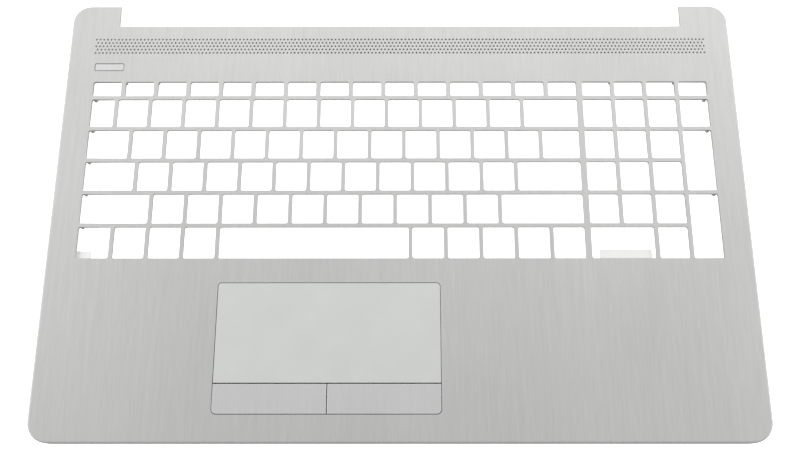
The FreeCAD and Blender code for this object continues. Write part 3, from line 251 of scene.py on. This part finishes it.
class Nodes:
    """A small helper that adds shader nodes and links them."""

    def __init__(self, name):
        self.material = bpy.data.materials.new(name)
        self.material.use_nodes = True
        self.tree = self.material.node_tree
        self.shader = self.tree.nodes["Principled BSDF"]

    def add(self, kind):
        return self.tree.nodes.new(kind)

    def link(self, source, target):
        self.tree.links.new(source, target)

    def coordinates(self, scale):
        place = self.add("ShaderNodeTexCoord")
        mapping = self.add("ShaderNodeMapping")
        mapping.inputs["Scale"].default_value = scale
        self.link(place.outputs["Object"], mapping.inputs["Vector"])
        return mapping.outputs["Vector"]

    def noise(self, vector, scale, detail=2.0, roughness=0.5):
        node = self.add("ShaderNodeTexNoise")
        node.inputs["Scale"].default_value = scale
        node.inputs["Detail"].default_value = detail
        node.inputs["Roughness"].default_value = roughness
        self.link(vector, node.inputs["Vector"])
        return node.outputs["Fac"]

    def ramp(self, factor, low, high, start=0.3, end=0.7):
        node = self.add("ShaderNodeValToRGB")
        node.color_ramp.elements[0].position = start
        node.color_ramp.elements[0].color = (*low, 1.0)
        node.color_ramp.elements[1].position = end
        node.color_ramp.elements[1].color = (*high, 1.0)
        self.link(factor, node.inputs["Fac"])
        return node.outputs["Color"]

    def blend_values(self, first, second, share):
        node = self.add("ShaderNodeMix")
        node.inputs["Factor"].default_value = share
        self.link(first, node.inputs["A"])
        self.link(second, node.inputs["B"])
        return node.outputs["Result"]

    def bump(self, height, strength, distance):
        node = self.add("ShaderNodeBump")
        node.inputs["Strength"].default_value = strength
        node.inputs["Distance"].default_value = distance
        self.link(height, node.inputs["Height"])
        self.link(node.outputs["Normal"], self.shader.inputs["Normal"])

    def surface(self, metallic, roughness):
        self.shader.inputs["Metallic"].default_value = metallic
        self.shader.inputs["Roughness"].default_value = roughness


def brushed_silver(name, low, high):
    """Silver paint with fine streaks that run from front to rear over broad soft patches."""
    shade = Nodes(name)
    shade.surface(0.25, 0.42)
    fine = shade.noise(shade.coordinates((1.0, 0.04, 0.3)), 1500.0, detail=3.0, roughness=0.7)
    long = shade.noise(shade.coordinates((1.0, 0.03, 0.3)), 420.0, detail=4.0, roughness=0.6)
    patches = shade.noise(shade.coordinates((1.0, 0.6, 1.0)), 14.0, detail=2.0)
    streaks = shade.blend_values(fine, long, 0.4)
    mixed = shade.blend_values(streaks, patches, 0.3)
    shade.link(shade.ramp(mixed, low, high, 0.34, 0.66), shade.shader.inputs["Base Color"])
    shade.bump(streaks, 0.04, BUMP_HEIGHT)
    return shade.material


def plain(name, low, high, scale, metallic, roughness, bump=PLAIN_BUMP):
    """A colour that varies a little over a fine grain."""
    shade = Nodes(name)
    shade.surface(metallic, roughness)
    grain = shade.noise(shade.coordinates((1.0, 1.0, 1.0)), scale, detail=3.0)
    shade.link(shade.ramp(grain, low, high), shade.shader.inputs["Base Color"])
    shade.bump(grain, bump, BUMP_HEIGHT)
    return shade.material


def make_materials():
    made = {slot: brushed_silver(slot, *colours) for slot, colours in SILVERS.items()}
    for slot, (name, *look) in PLAIN_LOOKS.items():
        made[slot] = plain(name, *look)
    # No specular on the near-white hole walls, whose colour is painted light
    matt = made["hole_wall_painted_light"].node_tree.nodes["Principled BSDF"]
    matt.inputs["Specular IOR Level"].default_value = 0.0
    return made


def dress_nodes(materials):
    slots = {row["node"]: row["material_slot"] for row in frame["record"]["subparts"]}
    for name, node in frame["nodes"].items():
        if not node.data.materials:
            node.data.materials.append(materials[slots[name]])
        for slot in node.material_slots:
            slot.material = materials[slots[name]]


def perforation_rows():
    """Middles of the holes, row by row from the rear."""
    for row in range(HOLE_ROWS):
        y = BAND_MIDDLE + (HOLE_ROWS // 2 - row) * HOLE_ROW_STEP
        shifted = row % 2
        count = HOLES_PER_ROW - shifted
        start = -(count - 1) / 2 * HOLE_PITCH
        for index in range(count):
            yield start + index * HOLE_PITCH, y


def build_hole_pins(shape):
    for x, y in perforation_rows():
        place = Matrix.Translation((x, y, TOP - PLATE / 2))
        bmesh.ops.create_cone(shape, cap_ends=True, segments=HOLE_SIDES, radius1=HOLE_RADIUS,
                              radius2=HOLE_RADIUS, depth=PIN_LENGTH, matrix=place)


def beside(point, low, high):
    """Tell if a point lies in a box, seen from above, or less than WELL_ROOM off it."""
    return (low[0] - WELL_ROOM < point.x < high[0] + WELL_ROOM
            and low[1] - WELL_ROOM < point.y < high[1] + WELL_ROOM)


def cut_perforations(cover):
    """Give the cover a mesh with the holes cut through its plate."""
    pins = place_object("hole_pins", new_mesh("hole_pins", build_hole_pins))
    cut = cover.modifiers.new("perforations", "BOOLEAN")
    cut.operation = "DIFFERENCE"
    cut.solver = "MANIFOLD"
    cut.object = pins
    bpy.context.view_layer.update()
    result = cover.evaluated_get(bpy.context.evaluated_depsgraph_get())
    perforated = bpy.data.meshes.new_from_object(result)
    cover.modifiers.clear()
    cover.data = perforated
    bpy.data.objects.remove(pins)


def dress_walls(mesh):
    """Shade the cover smoothly, give its holes near-white matt walls as painted light, and its
    button wells dark walls as painted shade.
    """
    shape = bmesh.new()
    shape.from_mesh(mesh)
    smooth_by_angle(shape)
    wells = [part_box(node) for node in WELL_NODES]
    for face in shape.faces:
        middle = face.calc_center_median()
        if not is_upright(face) or middle.z <= TOP - PLATE:
            continue
        # Walls of the perforation holes get the near-white painted light
        if abs(middle.y - BAND_MIDDLE) < BAND_HALF_DEPTH:
            face.material_index = HOLE_WALL_PAINTED_LIGHT
        # Walls round the buttons and the pad get the near-black painted shade
        elif any(beside(middle, *well) for well in wells):
            face.material_index = WELL_WALL_PAINTED_SHADE
    shape.to_mesh(mesh)
    shape.free()


def make_cover(materials):
    """A copy of the cover with bevelled openings and the perforated band cut through."""
    def copy_cover(shape):
        merged_copy(shape, "top_cover")
        bevel(shape, top_edges(shape, TOP), OPENING_BEVEL)
        bmesh.ops.triangulate(shape, faces=shape.faces)

    # The second and third materials are the painted light in the holes and the painted shade in
    # the wells
    looks = [materials[slot] for slot in ("cover_silver", "hole_wall_painted_light", "well_wall_painted_shade")]
    cover = new_piece("cover_shell", copy_cover, "cover", looks, ["top_cover"])
    cut_perforations(cover)
    dress_walls(cover.data)


def make_touchpad(materials):
    """Bevelled touch surface, pad buttons and power button."""
    # The sides of these pieces get the dark material, painted shade in the gaps round them
    pad_look = [materials["pad_face"], materials["groove_painted_shade"]]
    button_look = [materials["button_silver"], materials["groove_painted_shade"]]
    bevelled_piece("touch_face", "touchpad_surface", "cover", PAD_BEVEL, pad_look)
    for side in ("left", "right"):
        bevelled_piece(f"pad_button_{side}_cap", f"touchpad_button_{side}",
                       f"pad_button_{side}", BUTTON_BEVEL, button_look)
    bevelled_piece("power_button_bar", "power_button", "power_button",
                   BUTTON_BEVEL, button_look, rear_cut=POWER_REAR_CUT)


def build_button_shade_film(shape, side, low, high, middle_reach):
    """Boxes of one film: between the arms in front, at the outer end, and across the middle."""
    cap_front = high.y - CAP_DEPTH
    film_front = cap_front - FILM_REACH
    lap = cap_front + FILM_LAP
    rear = high.y - FILM_REACH
    bottom = CAP_BOTTOM - FILM_THICKNESS
    left = low.x - (FILM_REACH if side == "left" else 0.0)
    right = high.x + (FILM_REACH if side == "right" else middle_reach)
    arms = [low.x + ARM_INSET, high.x - ARM_INSET - ARM_WIDTH]
    starts = [left] + [arm + ARM_WIDTH + ARM_ROOM for arm in arms]
    ends = [arm - ARM_ROOM for arm in arms] + [right]
    for start, end in zip(starts, ends):
        add_box(shape, (start, film_front, bottom), (end, lap, CAP_BOTTOM))
    outer = left if side == "left" else right - FILM_REACH - FILM_LAP
    add_box(shape, (outer, lap, bottom), (outer + FILM_REACH + FILM_LAP, rear, CAP_BOTTOM))
    if side == "left":
        add_box(shape, (high.x - FILM_LAP, lap, bottom), (right, rear, CAP_BOTTOM))
    bmesh.ops.remove_doubles(shape, verts=shape.verts, dist=SAME_POINT)


def make_button_shade_films(materials):
    """Black films glued under the caps, cut away round the flex arms: dark sheets that paint the
    shade in the gaps round the caps.
    """
    boxes = {side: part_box(f"touchpad_button_{side}") for side in ("left", "right")}
    middle_reach = MIDDLE_FILM_SHARE * (boxes["right"][0].x - boxes["left"][1].x)
    for side, (low, high) in boxes.items():
        def build(shape):
            build_button_shade_film(shape, side, low, high, middle_reach)
        # The black film paints the shade seen through the gaps round the cap
        new_piece(f"button_film_{side}", build, f"pad_button_{side}",
                  [materials["black_plastic"]])


def make_floor():
    """A white floor that the camera sees as paper white."""
    def build(shape):
        bmesh.ops.create_grid(shape, x_segments=1, y_segments=1, size=FLOOR_HALF_SIZE)

    floor = place_object("floor", new_mesh("floor", build))
    shade = Nodes("floor_white")
    shade.surface(0.0, 0.9)
    shade.shader.inputs["Base Color"].default_value = (*FLOOR_COLOUR, 1.0)
    shade.shader.inputs["Emission Color"].default_value = (1.0, 1.0, 1.0, 1.0)
    seen = shade.add("ShaderNodeLightPath")
    shade.link(seen.outputs["Is Camera Ray"], shade.shader.inputs["Emission Strength"])
    floor.data.materials.append(shade.material)


def make_lights():
    world = bpy.data.worlds.new("studio")
    world.use_nodes = True
    background = world.node_tree.nodes["Background"]
    background.inputs["Color"].default_value = (1.0, 1.0, 1.0, 1.0)
    background.inputs["Strength"].default_value = WORLD_STRENGTH
    bpy.context.scene.world = world
    for name, place, target, size, power in SOFTBOXES:
        data = bpy.data.lights.new(name, "AREA")
        data.shape = "RECTANGLE"
        data.size, data.size_y = size
        data.energy = power
        light = place_object(name, data)
        light.location = place
        view = Vector(target) - Vector(place)
        light.rotation_euler = view.to_track_quat("-Z", "Y").to_euler()


def make_camera():
    data = bpy.data.cameras.new("camera")
    data.sensor_width = 36.0
    data.angle = CAMERA_FIELD
    data.clip_start = 0.01
    camera = place_object("camera", data)
    up = CAMERA_RIGHT.cross(CAMERA_FORWARD).normalized()
    turn = Matrix((CAMERA_RIGHT, up, -CAMERA_FORWARD)).transposed()
    camera.matrix_world = Matrix.Translation(CAMERA_PLACE) @ turn.to_4x4()
    bpy.context.scene.camera = camera


bpy.context.scene.view_settings.view_transform = "Standard"
make_camera()
MATERIALS = make_materials()
dress_nodes(MATERIALS)
make_cover(MATERIALS)
make_touchpad(MATERIALS)
make_button_shade_films(MATERIALS)
make_floor()
make_lights()
